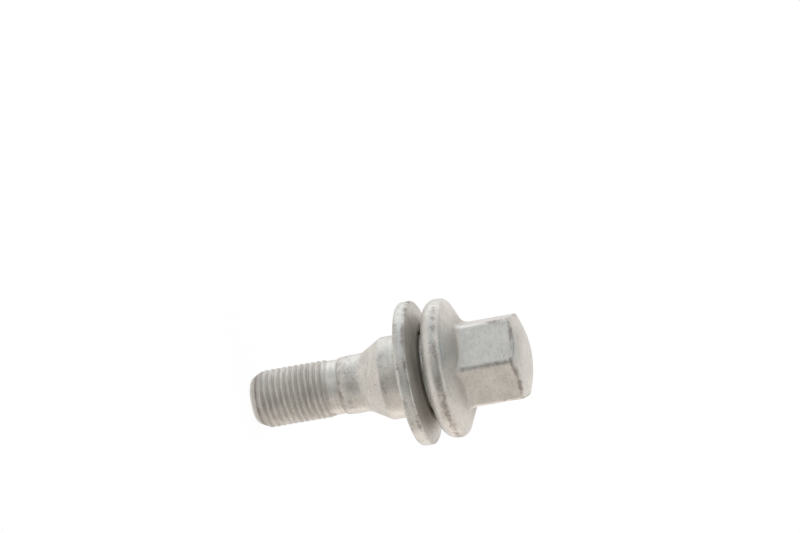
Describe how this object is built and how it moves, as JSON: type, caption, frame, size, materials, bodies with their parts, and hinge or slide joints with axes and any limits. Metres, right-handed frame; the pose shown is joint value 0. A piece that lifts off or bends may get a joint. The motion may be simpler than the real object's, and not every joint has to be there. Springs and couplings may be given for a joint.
{
  "type": "wheel bolt",
  "caption": "Hexagon-head wheel bolt with a round flange, a captive spinning washer, a centring collar and a threaded end.",
  "frame": {"origin": "centre of the flat on the thread's end, which the bolt stands on", "axes": "+Z along the bolt, from the thread's end to the head; +X to a corner of the hexagon; +Y to one of its flats"},
  "size_m": [0.0298, 0.0298, 0.0584],
  "materials": {
    "bolt_steel": "matte silver-grey flake coating over forged steel, worn darker on its edges",
    "washer_steel": "matte silver-grey flake coating over turned steel, specked on its rim"
  },
  "bodies": {
    "bolt": {"bolt": "bolt_steel"},
    "washer": {"washer": "washer_steel"}
  },
  "joints": [
    {"name": "washer_spin", "type": "hinge", "parent": "bolt", "child": "washer", "pos_m": [0, 0, 0.0355], "axis": [0, 0, 1], "continuous": true}
  ]
}
